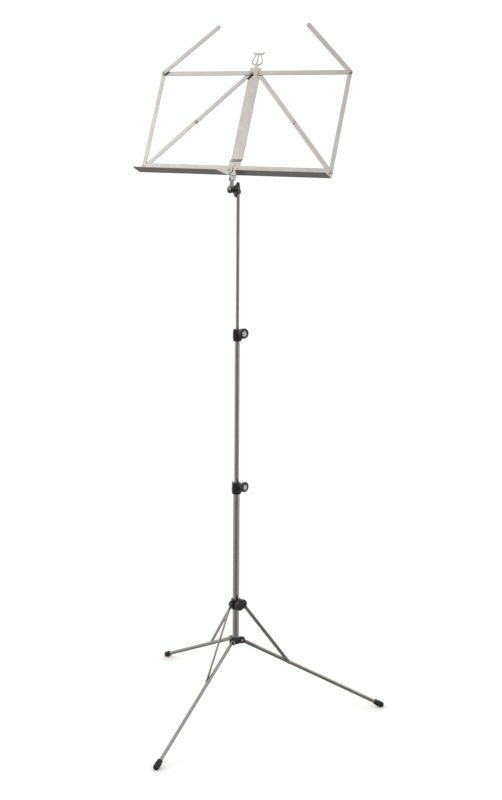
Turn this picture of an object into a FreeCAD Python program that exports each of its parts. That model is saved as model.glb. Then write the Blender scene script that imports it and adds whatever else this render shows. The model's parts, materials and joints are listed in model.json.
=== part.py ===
import FreeCAD, Part
import math
import os

from FreeCAD import Vector

os.makedirs("parts", exist_ok=True)

# Folding sheet-music stand, millimetres. Z is up, the floor is z = 0, the column stands on the Z axis,
# the musician is on the -Y side and the desk spreads along X.

# --- driving dimensions: tripod ---
leg_azimuths = {"front": -90.0, "right": 30.0, "left": 150.0}
leg_pivot_radius = 15.0
leg_pivot_height = 168.5
foot_radius = 338.0
foot_height = 8.0
leg_height = 8.6
leg_thickness = 6.4
leg_wall = 0.9
leg_tongue_thickness = 4.6
leg_tongue_width = 9.0
leg_tongue_length = 24.0
foot_cap_od = 13.6
foot_cap_back = 13.0
foot_cap_front = 11.0
strut_joint_on_leg = 122.2
strut_pivot_height = 260.5
strut_width = 8.0
strut_thickness = 2.0
strut_side_gap = 0.35
pin_radius = 2.0
pin_head_radius = 3.5
pin_clearance = 0.06

# --- driving dimensions: column ---
lower_tube_od = 15.0
lower_tube_wall = 0.9
lower_tube_bottom = 164.0
lower_tube_top = 534.5
mid_tube_od = 11.0
mid_tube_wall = 0.8
mid_tube_bottom = 482.0
mid_tube_top = 884.0
rod_od = 7.5
rod_bottom = 820.0
rod_top = 1200.0
clamp_height = 26.0
clamp_shoulder = 13.0
clamp_screw_height = 19.6
lower_knob_azimuth = -12.0
upper_knob_azimuth = -24.0
collar_knob_azimuth = -30.0
running_clearance = 0.06
free_clearance = 0.3

# --- driving dimensions: desk ---
desk_lean = 23.0
tilt_pivot = Vector(0.0, -29.0, 1202.0)
pivot_layer = -2.0
sheet = 1.5
layer_pitch = 1.8
strip_width = 9.8
spine_width = 27.5
spine_bottom = 29.0
spine_joggle_low = 58.0
spine_joggle_high = 68.0
fold_pivot_u = 10.0
tray_pivot_v = 41.0
arm_pivot_v = 262.0
desk_end_u = 227.5
tray_end_u = 233.0
flange_below = 13.0
flange_above = 8.6
ledge_depth = 34.0
brace_upper_length = 157.5
extension_length = 158.5
extension_angle = 42.3
rivet_head = 1.1
rivet_gap = 0.1

# strip layers counted from the back face of the spine
layer = [n * layer_pitch for n in range(5)]
leg_slope = math.degrees(
    math.atan2(leg_pivot_height - foot_height, foot_radius - leg_pivot_radius)
)
leg_length = math.hypot(leg_pivot_height - foot_height, foot_radius - leg_pivot_radius)
strut_side = leg_thickness / 2 + strut_side_gap + strut_thickness / 2

X = Vector(1, 0, 0)
Y = Vector(0, 1, 0)
Z = Vector(0, 0, 1)
ORIGIN = Vector(0, 0, 0)


def save(name, *solids):
    """Writes one node, made of one or more separate solids."""
    shape = solids[0] if len(solids) == 1 else Part.makeCompound(list(solids))
    shape.exportStep("parts/" + name + ".step")


def rod(radius, start, direction, length):
    return Part.makeCylinder(radius, length, start, direction)


def ring(outer, inner, start, direction, length):
    return rod(outer, start, direction, length).cut(rod(inner, start, direction, length))


def spin(shape, angle, centre=ORIGIN, axis=Z):
    turned = shape.copy()
    turned.rotate(centre, axis, angle)
    return turned


def rounded(shape, radius, pick):
    """Fillets the edges that pick() accepts."""
    return shape.makeFillet(radius, [e for e in shape.Edges if pick(e)])


def is_circle(edge, radius):
    curve = edge.Curve
    return isinstance(curve, Part.Circle) and abs(curve.Radius - radius) < 1e-3


def slot_face(p, q, radius):
    """A flat face in the XZ plane: a bar between p and q with round ends."""
    along = (q - p).normalize()
    side = along.cross(Y) * radius
    tip = along * radius
    edges = [
        Part.makeLine(p + side, q + side),
        Part.Arc(q + side, q + tip, q - side).toShape(),
        Part.makeLine(q - side, p - side),
        Part.Arc(p - side, p - tip, p + side).toShape(),
    ]
    return Part.Face(Part.Wire(edges))


# ---------------------------------------------------------------- tripod

def flat_oval(height, thickness):
    """A flat face in the YZ plane: the section of a leg, straight sides with round top and bottom."""
    reach = Z * (height - thickness) / 2
    return spin(slot_face(reach * -1, reach, thickness / 2), 90)


def oval_bar(start, end, inset=0.0):
    """A bar along X with the leg's section, drawn in by inset all round."""
    section = flat_oval(leg_height - 2 * inset, leg_thickness - 2 * inset)
    section.translate(X * start)
    return section.extrude(X * (end - start))


def build_leg():
    """One leg in its own frame: the hinge pin at the origin, the leg along +X, the pin along Y."""
    tongue = slot_face(ORIGIN, X * leg_tongue_length, leg_tongue_width / 2)
    tongue.translate(Y * (-leg_tongue_thickness / 2))
    tongue = tongue.extrude(Y * leg_tongue_thickness)
    tube_start = leg_tongue_length - 6.0
    tube_end = leg_length + 5.0
    tube = oval_bar(tube_start, tube_end)
    tube = rounded(tube, 0.8, lambda e: abs(e.BoundBox.XMax - tube_start) < 0.01)
    bore_start = leg_tongue_length + 8.0
    leg = tongue.fuse(tube).removeSplitter().cut(oval_bar(bore_start, tube_end + 1.0, leg_wall))
    leg = leg.cut(rod(pin_radius + pin_clearance, Y * -leg_tongue_thickness, Y, 2 * leg_tongue_thickness))
    # the formed head of the strut rivet on the side away from the strut
    head_radius = pin_head_radius - 0.5
    head_foot = leg_thickness / 2 - 0.6
    head = rod(head_radius, X * strut_joint_on_leg + Y * head_foot, Y, 2.0)
    head = rounded(head, 0.7, lambda e: is_circle(e, head_radius) and e.CenterOfMass.y > head_foot + 1)
    return leg.fuse(head).removeSplitter()


def build_foot():
    """The cap on the end of a leg, in the leg's own frame, before its flat is cut."""
    start = leg_length - foot_cap_back
    nose = leg_length + foot_cap_front
    cap = rod(foot_cap_od / 2, X * start, X, nose - start)
    cap = rounded(cap, 3.5, lambda e: is_circle(e, foot_cap_od / 2) and e.CenterOfMass.x > nose - 1)
    cap = rounded(cap, 1.2, lambda e: is_circle(e, foot_cap_od / 2) and e.CenterOfMass.x < start + 1)
    return cap.cut(oval_bar(start - 1.0, leg_length + 5.0))


def place_leg(shape, azimuth):
    placed = spin(shape, leg_slope, ORIGIN, Y)
    placed.translate(Vector(leg_pivot_radius, 0, leg_pivot_height))
    return spin(placed, azimuth)


floor_block = Part.makeBox(1200, 1200, 40, Vector(-600, -600, -40))
for side, azimuth in leg_azimuths.items():
    save("leg_" + side, place_leg(build_leg(), azimuth))
    save("foot_" + side, place_leg(build_foot(), azimuth).cut(floor_block))

# struts: flat bars beside the legs, hinged to the sliding collar
strut_joint = Vector(
    leg_pivot_radius + strut_joint_on_leg * math.cos(math.radians(leg_slope)),
    0,
    leg_pivot_height - strut_joint_on_leg * math.sin(math.radians(leg_slope)),
)
strut_top = Vector(leg_pivot_radius, 0, strut_pivot_height)


def build_strut():
    bar = slot_face(strut_top, strut_joint, strut_width / 2)
    bar.translate(Y * (-strut_side - strut_thickness / 2))
    bar = bar.extrude(Y * strut_thickness)
    bar = bar.cut(
        rod(pin_radius + pin_clearance, strut_top + Y * (-strut_side - 5), Y, 10)
    )
    # the formed head of the rivet that joins the strut to the leg
    head_at = strut_joint + Y * (-strut_side - strut_thickness / 2 - 1.4)
    head = rod(pin_head_radius, head_at, Y, 2.0)
    head = rounded(
        head, 0.8, lambda e: is_circle(e, pin_head_radius) and abs(e.CenterOfMass.y - head_at.y) < 0.01
    )
    return bar.fuse(head).removeSplitter()


for side, azimuth in leg_azimuths.items():
    save("strut_" + side, spin(build_strut(), azimuth))


def ear_pair(radius, centre, side, gap, plate, reach_in):
    """Two hinge ears in the XZ plane, round about centre, with a slot between them."""
    inner = Vector(reach_in, 0, centre.z)
    outline = slot_face(inner, centre, radius)
    ears = []
    for sign in (-1, 1):
        ear = outline.copy()
        low = side + sign * (gap + plate) / 2 - plate / 2
        ear.translate(Y * low)
        ears.append(ear.extrude(Y * plate))
    return ears


def pin_set(centre, side, span, heads):
    """A rivet along Y through a pair of ears, its centre at side."""
    shank = rod(pin_radius, centre + Y * (side - span / 2), Y, span)
    for sign in (-1, 1):
        at = side + sign * span / 2 - (heads if sign < 0 else 0)
        head = rod(pin_head_radius, centre + Y * at, Y, heads)
        outer = at if sign < 0 else at + heads
        head = rounded(
            head, 0.6, lambda e: is_circle(e, pin_head_radius) and abs(e.CenterOfMass.y - outer) < 0.01
        )
        shank = shank.fuse(head)
    return shank.removeSplitter()


# fixed hub at the foot of the lower tube
hub_radius = 10.5
hub_bottom = 161.0
hub_top = 176.0
hub_slot = leg_tongue_thickness + 0.5
hub_ear = 2.4
hub_ear_radius = 7.0
leg_pin_at = Vector(leg_pivot_radius, 0, leg_pivot_height)
hub = rod(hub_radius, Z * hub_bottom, Z, hub_top - hub_bottom)
hub = rounded(hub, 1.5, lambda e: is_circle(e, hub_radius))
hub_pins = []
for azimuth in leg_azimuths.values():
    for ear in ear_pair(hub_ear_radius, leg_pin_at, 0.0, hub_slot, hub_ear, 9.0):
        hub = hub.fuse(spin(ear, azimuth))
    hub_pins.append(spin(pin_set(leg_pin_at, 0.0, hub_slot + 2 * hub_ear, 1.4), azimuth))
hub = hub.cut(rod(lower_tube_od / 2, Z * lower_tube_bottom, Z, 60))
for azimuth in leg_azimuths.values():
    hub = hub.cut(spin(rod(pin_radius, leg_pin_at - Y * 20, Y, 40), azimuth))
    # relief behind the tongue of the leg
    relief = Part.makeBox(6, hub_slot, 30, Vector(10.2, -hub_slot / 2, 150))
    hub = hub.cut(spin(relief, azimuth))
save("base_hub", hub.removeSplitter())
save("hub_rivets", *hub_pins)

# sliding collar that spreads the legs
collar_radius = 11.5
collar_bottom = 246.0
collar_top = 270.0
collar_screw_z = 262.0
collar_slot = strut_thickness + 0.5
collar_ear = 2.0
collar_ear_radius = 6.3
collar = rod(collar_radius, Z * collar_bottom, Z, collar_top - collar_bottom)
collar = rounded(collar, 2.0, lambda e: is_circle(e, collar_radius))
collar_pins = []
for azimuth in leg_azimuths.values():
    for ear in ear_pair(collar_ear_radius, strut_top, -strut_side, collar_slot, collar_ear, 9.0):
        collar = collar.fuse(spin(ear, azimuth))
    collar_pins.append(
        spin(pin_set(strut_top, -strut_side, collar_slot + 2 * collar_ear, 1.0), azimuth)
    )
collar_boss = rod(6.6, Z * collar_screw_z, X, 15.0)
collar = collar.fuse(spin(collar_boss, collar_knob_azimuth))
collar = collar.cut(
    rod(lower_tube_od / 2 + running_clearance, Z * (collar_bottom - 1), Z, 30)
)
head_pocket_start = -strut_side - collar_slot / 2 - collar_ear
for azimuth in leg_azimuths.values():
    collar = collar.cut(spin(rod(pin_radius, strut_top - Y * 20, Y, 40), azimuth))
    slot = Part.makeBox(20, collar_slot, 27, Vector(10.7, -strut_side - collar_slot / 2, 240))
    collar = collar.cut(spin(slot, azimuth))
    # room for the rivet head beside the boss of the screw
    pocket = rod(pin_head_radius + 0.4, strut_top + Y * head_pocket_start, Y * -1, 6.0)
    collar = collar.cut(spin(pocket, azimuth))


def hex_nut(flats, thickness, bore, start):
    """A hex nut along X from start, its bore along X."""
    corners = []
    for n in range(7):
        a = math.radians(60 * n)
        r = flats / math.sqrt(3)
        corners.append(start + Y * (r * math.cos(a)) + Z * (r * math.sin(a)))
    nut = Part.Face(Part.makePolygon(corners)).extrude(X * thickness)
    return nut.cut(rod(bore, start - X, X, thickness + 2))


screw_radius = 2.5
nut_flats = 8.0
nut_thickness = 3.4


def fit_screw(body, nut_start, height, tip, azimuth):
    """Cuts the screw bore and the nut pocket into body and returns it with the nut."""
    at = Vector(nut_start, 0, height)
    pocket = hex_nut(nut_flats, nut_thickness, 0.01, at)
    pocket = pocket.fuse(rod(1.0, at, X, nut_thickness))
    body = body.cut(spin(pocket, azimuth))
    bore = rod(screw_radius + free_clearance, Vector(tip - 2.0, 0, height), X, 30)
    body = body.cut(spin(bore, azimuth))
    nut = hex_nut(nut_flats, nut_thickness, screw_radius + running_clearance, at)
    return body.removeSplitter(), spin(nut, azimuth)


collar, collar_nut = fit_screw(
    collar, 10.2, collar_screw_z, lower_tube_od / 2, collar_knob_azimuth
)
save("sliding_collar", collar)
save("collar_rivets", *collar_pins)
save("collar_nut", collar_nut)

# oval tightening knob of the collar and its screw
collar_knob_start = 15.6
collar_knob_neck = 3.0
collar_knob_grip = 9.0
oval_end_radius = 10.5
oval_half = 4.5
grip_end = collar_knob_neck + collar_knob_grip
grip = spin(slot_face(X * -oval_half, X * oval_half, oval_end_radius), 90)
grip.translate(X * collar_knob_neck)
grip = grip.extrude(X * collar_knob_grip)
grip = rounded(grip, 2.2, lambda e: abs(e.BoundBox.XMin - grip_end) < 0.01)
grip = rounded(grip, 1.0, lambda e: abs(e.BoundBox.XMax - collar_knob_neck) < 0.01)
neck = rod(7.0, ORIGIN, X, collar_knob_neck + 1.0)
collar_knob = spin(grip.fuse(neck).removeSplitter(), 28, ORIGIN, X)
collar_knob.translate(Vector(collar_knob_start, 0, collar_screw_z))
collar_screw_tip = lower_tube_od / 2 + free_clearance
collar_screw_end = collar_knob_start + 9.0
collar_screw_axis = Vector(collar_screw_tip, 0, collar_screw_z)
collar_screw = rod(screw_radius, collar_screw_axis, X, collar_screw_end - collar_screw_tip)
collar_knob = collar_knob.cut(collar_screw)
save("collar_knob", spin(collar_knob, collar_knob_azimuth))
save("collar_screw", spin(collar_screw, collar_knob_azimuth))

# ---------------------------------------------------------------- column

lower_bore = lower_tube_od / 2 - lower_tube_wall
mid_bore = mid_tube_od / 2 - mid_tube_wall
save(
    "lower_tube",
    ring(lower_tube_od / 2, lower_bore, Z * lower_tube_bottom, Z, lower_tube_top - lower_tube_bottom),
)
save(
    "mid_tube",
    ring(mid_tube_od / 2, mid_bore, Z * mid_tube_bottom, Z, mid_tube_top - mid_tube_bottom),
)

# plastic bush round the foot of the middle tube
bush_radius = lower_bore - running_clearance
mid_bush = rod(bush_radius, Z * (mid_tube_bottom - 3), Z, 21.0)
mid_bush = rounded(mid_bush, 0.5, lambda e: is_circle(e, bush_radius))
mid_bush = mid_bush.cut(rod(mid_tube_od / 2, Z * mid_tube_bottom, Z, 30))
mid_bush = mid_bush.cut(rod(4.0, Z * (mid_tube_bottom - 5), Z, 10))
save("mid_tube_bush", mid_bush)


def build_clamp(base, outer, seat, slide, top_outer):
    """A clamp body on a tube end: seat radius below the shoulder, sliding bore above it."""
    profile = [
        Vector(outer - 1.0, 0, base),
        Vector(outer, 0, base + 8.0),
        Vector(top_outer, 0, base + clamp_height - 1.2),
        Vector(top_outer - 1.2, 0, base + clamp_height),
        Vector(0, 0, base + clamp_height),
        Vector(0, 0, base),
        Vector(outer - 1.0, 0, base),
    ]
    body = Part.Face(Part.makePolygon(profile)).revolve(ORIGIN, Z, 360)
    screw_z = base + clamp_screw_height
    boss = rod(6.0, Z * screw_z, X, 14.6)
    boss = rounded(boss, 0.8, lambda e: is_circle(e, 6.0) and e.CenterOfMass.x > 10)
    body = body.fuse(boss)
    web = Part.makeBox(13.0, 7.0, 14.0, Vector(0, -3.5, base + 4.0))
    body = body.fuse(web)
    rib = Part.makeBox(6.0, 3.2, clamp_height - 4.0, Vector(-outer - 1.6, -1.6, base + 4.0))
    body = body.fuse(rib)
    body = body.cut(rod(seat, Z * (base - 1), Z, clamp_shoulder + 1))
    body = body.cut(rod(slide, Z * base, Z, clamp_height + 2))
    split = Part.makeBox(20.0, 1.4, clamp_height - clamp_shoulder + 1, Vector(0, -0.7, base + clamp_shoulder))
    body = body.cut(spin(split, -75))
    return body.removeSplitter()


def build_knob(start, height):
    """A round fluted knob along X from start, with a recess in its face."""
    knob_radius = 11.6
    inlay_radius = 6.6
    knob = rod(knob_radius, X * 3.0, X, 9.4)
    knob = rounded(knob, 1.6, lambda e: is_circle(e, knob_radius) and e.CenterOfMass.x > 10)
    knob = rounded(knob, 1.0, lambda e: is_circle(e, knob_radius) and e.CenterOfMass.x < 4)
    cone = Part.makeCone(6.4, 8.6, 3.4, ORIGIN, X)
    knob = knob.fuse(cone)
    for n in range(10):
        flute = rod(2.2, Vector(0, knob_radius + 1.3, 0), X, 14)
        knob = knob.cut(spin(flute, 36 * n + 18, ORIGIN, X))
    recess = rod(inlay_radius, X * 10.4, X, 4)
    knob = knob.cut(recess).removeSplitter()
    face = rod(inlay_radius, X * 10.4, X, 1.3)
    face = rounded(face, 0.6, lambda e: is_circle(e, inlay_radius) and e.CenterOfMass.x > 11)
    dimple = Part.makeSphere(1.6, X * 12.5)
    face = face.cut(dimple)
    for shape in (knob, face):
        shape.translate(Vector(start, 0, height))
    return knob, face


clamps = {
    "lower": (lower_tube_top - clamp_shoulder, 11.2, lower_tube_od / 2, mid_tube_od / 2, 10.4, lower_knob_azimuth),
    "upper": (mid_tube_top - clamp_shoulder, 10.4, mid_tube_od / 2, rod_od / 2, 9.8, upper_knob_azimuth),
}
for name, (base, outer, seat, slide, top_outer, azimuth) in clamps.items():
    body = build_clamp(base, outer, seat, slide + running_clearance, top_outer)
    screw_z = base + clamp_screw_height
    body, nut = fit_screw(spin(body, azimuth), 9.6, screw_z, slide, azimuth)
    knob_start = 15.0
    knob, face = build_knob(knob_start, screw_z)
    tip = slide + free_clearance
    screw = rod(screw_radius, Vector(tip, 0, screw_z), X, knob_start + 9.0 - tip)
    knob = knob.cut(screw)
    save(name + "_clamp", body)
    save(name + "_clamp_nut", nut)
    save(name + "_knob", spin(knob, azimuth))
    save(name + "_knob_face", spin(face, azimuth))
    save(name + "_screw", spin(screw, azimuth))

# bush in which the rod turns, sliding in the middle tube
rod_bush = ring(mid_bore - running_clearance, rod_od / 2 + running_clearance, Z * (rod_bottom + 4), Z, 18.0)
save("rod_bush", rod_bush)
rod_rings = [
    ring(4.5, rod_od / 2, Z * (rod_bottom + 1.8), Z, 2.0),
    ring(4.5, rod_od / 2, Z * (rod_bottom + 22.2), Z, 2.0),
]
save("rod_rings", *rod_rings)

# rod with its end flattened and cranked forward to the tilt pivot
head_left = -1.2
head_thickness = 3.0
head_half = 7.5
top_rod = rod(rod_od / 2, Z * rod_bottom, Z, rod_top - rod_bottom)
top_rod = rounded(top_rod, 1.0, lambda e: is_circle(e, rod_od / 2))
head_back = Vector(head_left, -1.0, tilt_pivot.z)
crank = slot_face(ORIGIN, X * (head_back.y - tilt_pivot.y), head_half)
crank = spin(crank.extrude(Y * -head_thickness), 90)
crank.translate(Vector(head_left, tilt_pivot.y, tilt_pivot.z))
top_rod = top_rod.fuse(crank).removeSplitter()
bolt_radius = 3.0
bolt_hole = rod(bolt_radius + pin_clearance, Vector(-20, tilt_pivot.y, tilt_pivot.z), X, 40)
save("top_rod", top_rod.cut(bolt_hole))

# ---------------------------------------------------------------- desk
# Desk parts are drawn upright: X across, Z up from the tilt pivot, -Y towards the musician.


def at(u, v, w):
    return Vector(u, pivot_layer - w, v)


def plate(face, w, thickness=sheet):
    """Extrudes a face drawn in the XZ plane from height w above the back of the spine."""
    placed = face.copy()
    placed.translate(Y * (pivot_layer - w))
    return placed.extrude(Y * -thickness)


def drill(u, v, radius):
    return rod(radius, at(u, v, -20), Y * -1, 80)


def strip(p, q, w, hole_at):
    """A flat strip with round ends from p to q and clearance holes at its pivots."""
    bar = plate(slot_face(Vector(p[0], 0, p[1]), Vector(q[0], 0, q[1]), strip_width / 2), w)
    for u, v in hole_at:
        bar = bar.cut(drill(u, v, pin_radius + pin_clearance))
    return bar


def desk_rivet(u, v, low, high, back_head, front_head):
    """A rivet from layer height low to high with a head at either end."""
    body = rod(pin_radius, at(u, v, low), Y * -1, high - low)
    if back_head:
        back = rod(pin_head_radius, at(u, v, low - back_head), Y * -1, back_head)
        edge_y = pivot_layer - (low - back_head)
        back = rounded(back, 0.5, lambda e: is_circle(e, pin_head_radius) and abs(e.CenterOfMass.y - edge_y) < 0.01)
        body = body.fuse(back)
    if front_head:
        front = rod(pin_head_radius, at(u, v, high), Y * -1, front_head)
        edge_y = pivot_layer - (high + front_head)
        front = rounded(front, 0.5, lambda e: is_circle(e, pin_head_radius) and abs(e.CenterOfMass.y - edge_y) < 0.01)
        body = body.fuse(front)
    return body.removeSplitter()


def desk(shape):
    """Leans a desk part back and carries it to the tilt pivot."""
    placed = spin(shape, -desk_lean, ORIGIN, X)
    placed.translate(tilt_pivot)
    return placed


def mirrored(shape, side):
    return shape if side == "right" else shape.mirror(ORIGIN, X)


# spine: one strip stepped forward below, so that the trays pass in front of everything
spine_top = arm_pivot_v + 14.0
low = layer[3]
spine_profile = [
    (spine_bottom, low),
    (spine_joggle_low, low),
    (spine_joggle_high, 0.0),
    (spine_top, 0.0),
    (spine_top, sheet),
    (spine_joggle_high + 0.9, sheet),
    (spine_joggle_low + 0.9, low + sheet),
    (spine_bottom, low + sheet),
    (spine_bottom, low),
]
outline = Part.makePolygon([at(-spine_width / 2, v, w) for v, w in spine_profile])
spine = Part.Face(outline).extrude(X * spine_width)
for sign in (-1, 1):
    for corner_v, direction in ((spine_top, -1), (spine_bottom, 1)):
        cut = 5.0
        edge = sign * (spine_width / 2 + 1)
        triangle = [
            Vector(edge, 0, corner_v - direction),
            Vector(sign * (spine_width / 2 - cut), 0, corner_v - direction),
            Vector(edge, 0, corner_v + direction * (cut + 1)),
            Vector(edge, 0, corner_v - direction),
        ]
        corner = Part.Face(Part.makePolygon(triangle))
        corner.translate(Y * 20)
        spine = spine.cut(corner.extrude(Y * -60))

# open finial above the spine: a vase outline with two windows and a cross bar
finial_outline = [(3.0, 13.0), (4.2, 17.5), (11.0, 21.0), (13.2, 27.0), (11.6, 34.0), (8.8, 40.0), (8.0, 44.0)]
finial_window = [(2.0, 22.0), (8.4, 23.4), (10.8, 27.5), (9.4, 34.0), (6.6, 40.0), (5.8, 43.6), (1.3, 43.6), (1.3, 30.0)]


def smooth_wire(points, closing):
    """A closed wire: a smooth curve through the points, then straight lines along closing."""
    curve = Part.BSplineCurve()
    curve.interpolate([Vector(u, 0, arm_pivot_v + v) for u, v in points])
    corners = [points[-1]] + closing + [points[0]]
    lines = [
        Part.makeLine(Vector(a[0], 0, arm_pivot_v + a[1]), Vector(b[0], 0, arm_pivot_v + b[1]))
        for a, b in zip(corners, corners[1:])
    ]
    return Part.Wire([curve.toShape()] + lines)


half = Part.Face(smooth_wire(finial_outline, [(0.0, 44.0), (0.0, 13.0)]))
window = Part.Face(smooth_wire(finial_window[1:6], [finial_window[6], finial_window[7], finial_window[0]]))
half = plate(half, 0.0).cut(plate(window, -1.0, 4.0))
bar_points = [(0.0, 43.4), (9.0, 43.4), (12.2, 45.4), (14.2, 49.0), (12.0, 49.6), (8.0, 48.2), (0.0, 48.2), (0.0, 43.4)]
cross_bar = plate(Part.Face(Part.makePolygon([Vector(u, 0, arm_pivot_v + v) for u, v in bar_points])), 0.0)
half = half.fuse(cross_bar)
finial = half.fuse(half.mirror(ORIGIN, X))
spine = spine.fuse(finial).removeSplitter()
for sign in (-1, 1):
    spine = spine.cut(drill(sign * fold_pivot_u, arm_pivot_v, pin_radius))
    spine = spine.cut(drill(sign * fold_pivot_u, tray_pivot_v, pin_radius))

spine_rivets = []
for sign in (-1, 1):
    u = sign * fold_pivot_u
    spine_rivets.append(desk_rivet(u, arm_pivot_v, 0.0, layer[2] + sheet + rivet_gap, rivet_head, rivet_head))
    spine_rivets.append(desk_rivet(u, tray_pivot_v, layer[3], layer[4] + sheet + rivet_gap, rivet_head, rivet_head))
save("spine_rivets", *[desk(r) for r in spine_rivets])

# tilt bracket: a plate behind the foot of the spine with one lug turned back to the bolt
bracket_sheet = 2.2
bracket_back = layer[3] - bracket_sheet
bracket_foot_half = 8.0
bracket_neck_half = 6.0
lug_left = -3.6
lug_thickness = 2.2
lug_radius = 8.0
lug_edge = pivot_layer - layer[3]
foot_plate = Part.makeBox(2 * bracket_foot_half, bracket_sheet, 17.0, Vector(-bracket_foot_half, lug_edge, 18.0))
neck_plate = Part.makeBox(2 * bracket_neck_half, bracket_sheet, 20.0, Vector(-bracket_neck_half, lug_edge, 34.0))
lug_disc = rod(lug_radius, X * lug_left, X, lug_thickness)
lug_web = Part.makePolygon(
    [
        Vector(lug_left, lug_radius, 0),
        Vector(lug_left, lug_radius, 12),
        Vector(lug_left, 3.0, 24),
        Vector(lug_left, lug_edge, 30),
        Vector(lug_left, lug_edge, 16),
        Vector(lug_left, -lug_radius, 0),
        Vector(lug_left, lug_radius, 0),
    ]
)
lug_web = Part.Face(lug_web).extrude(X * lug_thickness)
bracket = lug_disc.fuse([lug_web, foot_plate, neck_plate]).removeSplitter()
bracket = bracket.cut(rod(bolt_radius, X * -20, X, 40))
bracket_holes = (38.0, 50.0)
bracket_rivets = []
for v in bracket_holes:
    hole = drill(0, v, 1.6)
    bracket = bracket.cut(hole)
    spine = spine.cut(hole)
    shank = rod(1.6, at(0, v, bracket_back), Y * -1, layer[3] + sheet - bracket_back)
    head = rod(2.8, at(0, v, bracket_back - 1.0), Y * -1, 1.0)
    bracket_rivets.append(desk(shank.fuse(head)))
save("tilt_bracket", desk(bracket))
save("bracket_rivets", *bracket_rivets)
save("spine", desk(spine))

# tilt bolt, its washer, and the winged knob
bolt_head_left = lug_left - 0.2 - 1.5
washer = ring(7.0, bolt_radius, X * bolt_head_left, X, 1.5)
bolt_head = rod(8.0, X * (bolt_head_left - 3.2), X, 3.2)
bolt_head = rounded(bolt_head, 1.8, lambda e: is_circle(e, 8.0) and e.CenterOfMass.x < bolt_head_left - 3)
bolt_end = 15.0
bolt = bolt_head.fuse(rod(bolt_radius, X * bolt_head_left, X, bolt_end - bolt_head_left)).removeSplitter()
save("tilt_bolt", desk(bolt))
save("tilt_washer", desk(washer))

wing_start = head_left + head_thickness + 0.3
lobe_half = 3.8
wing_hub = rod(6.2, X * wing_start, X, 12.0)
wing_hub = rounded(wing_hub, 0.6, lambda e: is_circle(e, 6.2))
wing_points = [
    (wing_start + 2.5, 4.0),
    (wing_start + 9.5, 16.0),
    (wing_start + 11.5, 17.2),
    (wing_start + 13.6, 15.6),
    (wing_start + 16.6, 4.6),
    (wing_start + 16.6, -4.6),
    (wing_start + 13.6, -15.6),
    (wing_start + 11.5, -17.2),
    (wing_start + 9.5, -16.0),
    (wing_start + 2.5, -4.0),
    (wing_start + 2.5, 4.0),
]
wing = Part.Face(Part.makePolygon([Vector(x, 0, z) for x, z in wing_points]))
wing.translate(Y * lobe_half)
wing = wing.extrude(Y * -2 * lobe_half)
wing = rounded(wing, 1.6, lambda e: abs(abs(e.CenterOfMass.y) - lobe_half) < 0.01)
wing = wing_hub.fuse(wing).fuse(spin(wing, 90, ORIGIN, X)).removeSplitter()
insert = ring(4.6, bolt_radius + running_clearance, X * wing_start, X, 8.0)
wing = wing.cut(rod(4.6, X * (wing_start - 1), X, 9.0))
wing = wing.cut(rod(bolt_radius + free_clearance, X * wing_start, X, bolt_end + 0.6 - wing_start))
save("tilt_knob", desk(wing))
save("tilt_knob_insert", desk(insert))

# tray halves: flange and ledge from one angle, rounded inner end about the fold pivot
for side in ("right", "left"):
    low_v = tray_pivot_v - flange_below
    flange = Part.makeBox(
        tray_end_u - fold_pivot_u, sheet, flange_below + flange_above,
        Vector(fold_pivot_u, pivot_layer - layer[4] - sheet, low_v),
    )
    flange = rounded(flange, 4.0, lambda e: e.CenterOfMass.x > tray_end_u - 0.1 and e.CenterOfMass.z > low_v + 19)
    inner = rod(flange_above, at(fold_pivot_u, tray_pivot_v, layer[4]), Y * -1, sheet)
    w0 = layer[4]
    ledge_face = Part.makePolygon(
        [
            at(fold_pivot_u + 2.0, low_v, w0),
            at(fold_pivot_u + 14.0, low_v, w0 + ledge_depth),
            at(tray_end_u - 4.0, low_v, w0 + ledge_depth),
            at(tray_end_u, low_v, w0 + ledge_depth - 4.0),
            at(tray_end_u, low_v, w0),
            at(fold_pivot_u + 2.0, low_v, w0),
        ]
    )
    ledge = Part.Face(ledge_face).extrude(Z * sheet)
    tray = flange.fuse(inner).fuse(ledge).removeSplitter()
    tray = tray.cut(drill(fold_pivot_u, tray_pivot_v, pin_radius + pin_clearance))
    tray = tray.cut(drill(desk_end_u, tray_pivot_v, pin_radius))
    end_rivet = desk_rivet(
        desk_end_u, tray_pivot_v, layer[2] - rivet_gap, layer[4] + sheet, rivet_head, rivet_head
    )
    save("tray_" + side, desk(mirrored(tray, side)))
    save("tray_rivet_" + side, desk(mirrored(end_rivet, side)))

# top arms, side struts and extension arms
for side in ("right", "left"):
    inner_top = (fold_pivot_u, arm_pivot_v)
    outer_top = (desk_end_u, arm_pivot_v)
    outer_low = (desk_end_u, tray_pivot_v)
    arm = strip(inner_top, outer_top, layer[2], [inner_top])
    arm = arm.cut(drill(*outer_top, pin_radius))
    save("top_arm_" + side, desk(mirrored(arm, side)))
    arm_rivet = desk_rivet(
        desk_end_u, arm_pivot_v, layer[2], layer[4] + sheet + rivet_gap, rivet_head, rivet_head
    )
    save("arm_rivet_" + side, desk(mirrored(arm_rivet, side)))
    side_strut = strip(outer_low, outer_top, layer[3], [outer_low, outer_top])
    save("side_strut_" + side, desk(mirrored(side_strut, side)))
    swing = math.radians(180.0 - extension_angle)
    tip = (
        desk_end_u + extension_length * math.cos(swing),
        arm_pivot_v + extension_length * math.sin(swing),
    )
    extension = strip(outer_top, tip, layer[4], [outer_top])
    save("extension_arm_" + side, desk(mirrored(extension, side)))

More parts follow.
